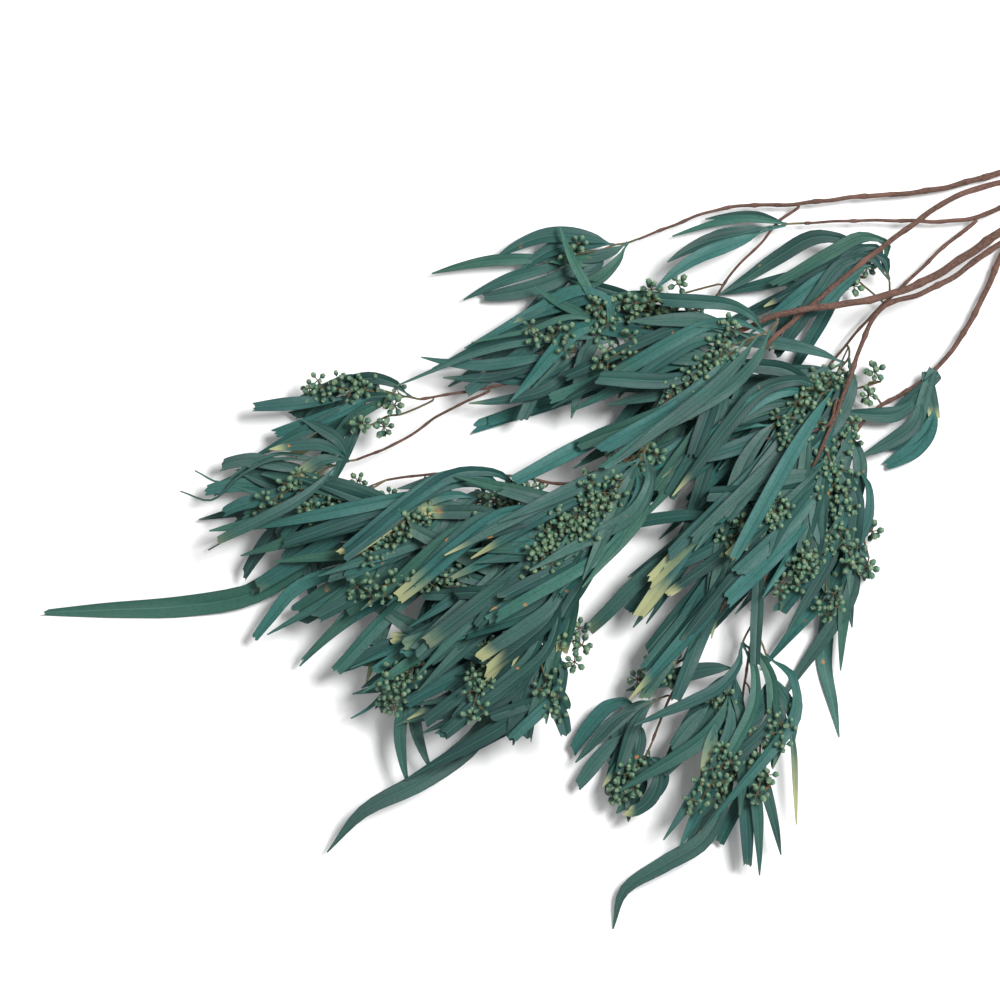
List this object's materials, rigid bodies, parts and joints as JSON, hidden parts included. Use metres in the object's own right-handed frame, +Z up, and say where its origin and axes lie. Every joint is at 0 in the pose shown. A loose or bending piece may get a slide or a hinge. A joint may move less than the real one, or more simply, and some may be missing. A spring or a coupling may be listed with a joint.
{
  "type": "bunch of dried eucalyptus",
  "caption": "Loose bunch of dried, dyed narrow-leaved eucalyptus with seed capsules, lying flat.",
  "frame": {"origin": "on the surface the bunch lies on, under the middle of its bounding box", "axes": "+X towards the cut stem ends, along the longest extent; +Z up, away from the surface"},
  "size_m": [0.6838, 0.533, 0.0962],
  "materials": {
    "bark": "matt, finely ridged bark",
    "leaf": "dry, dyed leaf, low sheen",
    "capsule": "dry, dyed seed capsule, matt"
  },
  "bodies": {
    "root": {"branch_hanging": "bark", "branch_left": "bark", "branch_left_fork": "bark", "branch_lower": "bark", "branch_middle_left": "bark", "branch_thin_down": "bark", "branch_top_down": "bark", "cluster_centre": "capsule", "cluster_centre_low": "capsule", "cluster_hanging": "capsule", "cluster_left": "capsule", "cluster_left_low": "capsule", "cluster_lower": "capsule", "cluster_middle": "capsule", "cluster_right_high": "capsule", "cluster_right_low": "capsule", "cluster_thin": "capsule", "cluster_top_down": "capsule", "spray_bottom": "leaf", "spray_bottom_left": "leaf", "spray_bottom_right": "leaf", "spray_centre_low": "leaf", "spray_hanging_right": "leaf", "spray_knotty_a": "leaf", "spray_knotty_b": "leaf", "spray_left_low": "leaf", "spray_left_pale": "leaf", "spray_left_tip": "leaf", "spray_longest": "leaf", "spray_low_blade": "leaf", "spray_low_left": "leaf", "spray_lower_end": "leaf", "spray_lower_side": "leaf", "spray_main_a": "leaf", "spray_main_b": "leaf", "spray_main_c": "leaf", "spray_main_d": "leaf", "spray_middle_a": "leaf", "spray_middle_b": "leaf", "spray_right_blade": "leaf", "spray_right_inner": "leaf", "spray_right_low": "leaf", "spray_right_middle": "leaf", "spray_second_a": "leaf", "spray_second_b": "leaf", "spray_thin": "leaf", "spray_thin_inner": "leaf", "spray_thin_low": "leaf", "spray_top_down": "leaf", "spray_top_left": "leaf", "spray_upper": "leaf", "spray_upper_left": "leaf", "spray_upper_right": "leaf", "stem_knotty": "bark", "stem_main": "bark", "stem_right": "bark", "stem_second": "bark", "stem_thin": "bark", "stem_top": "bark", "twig_cut": "bark"}
  },
  "joints": []
}
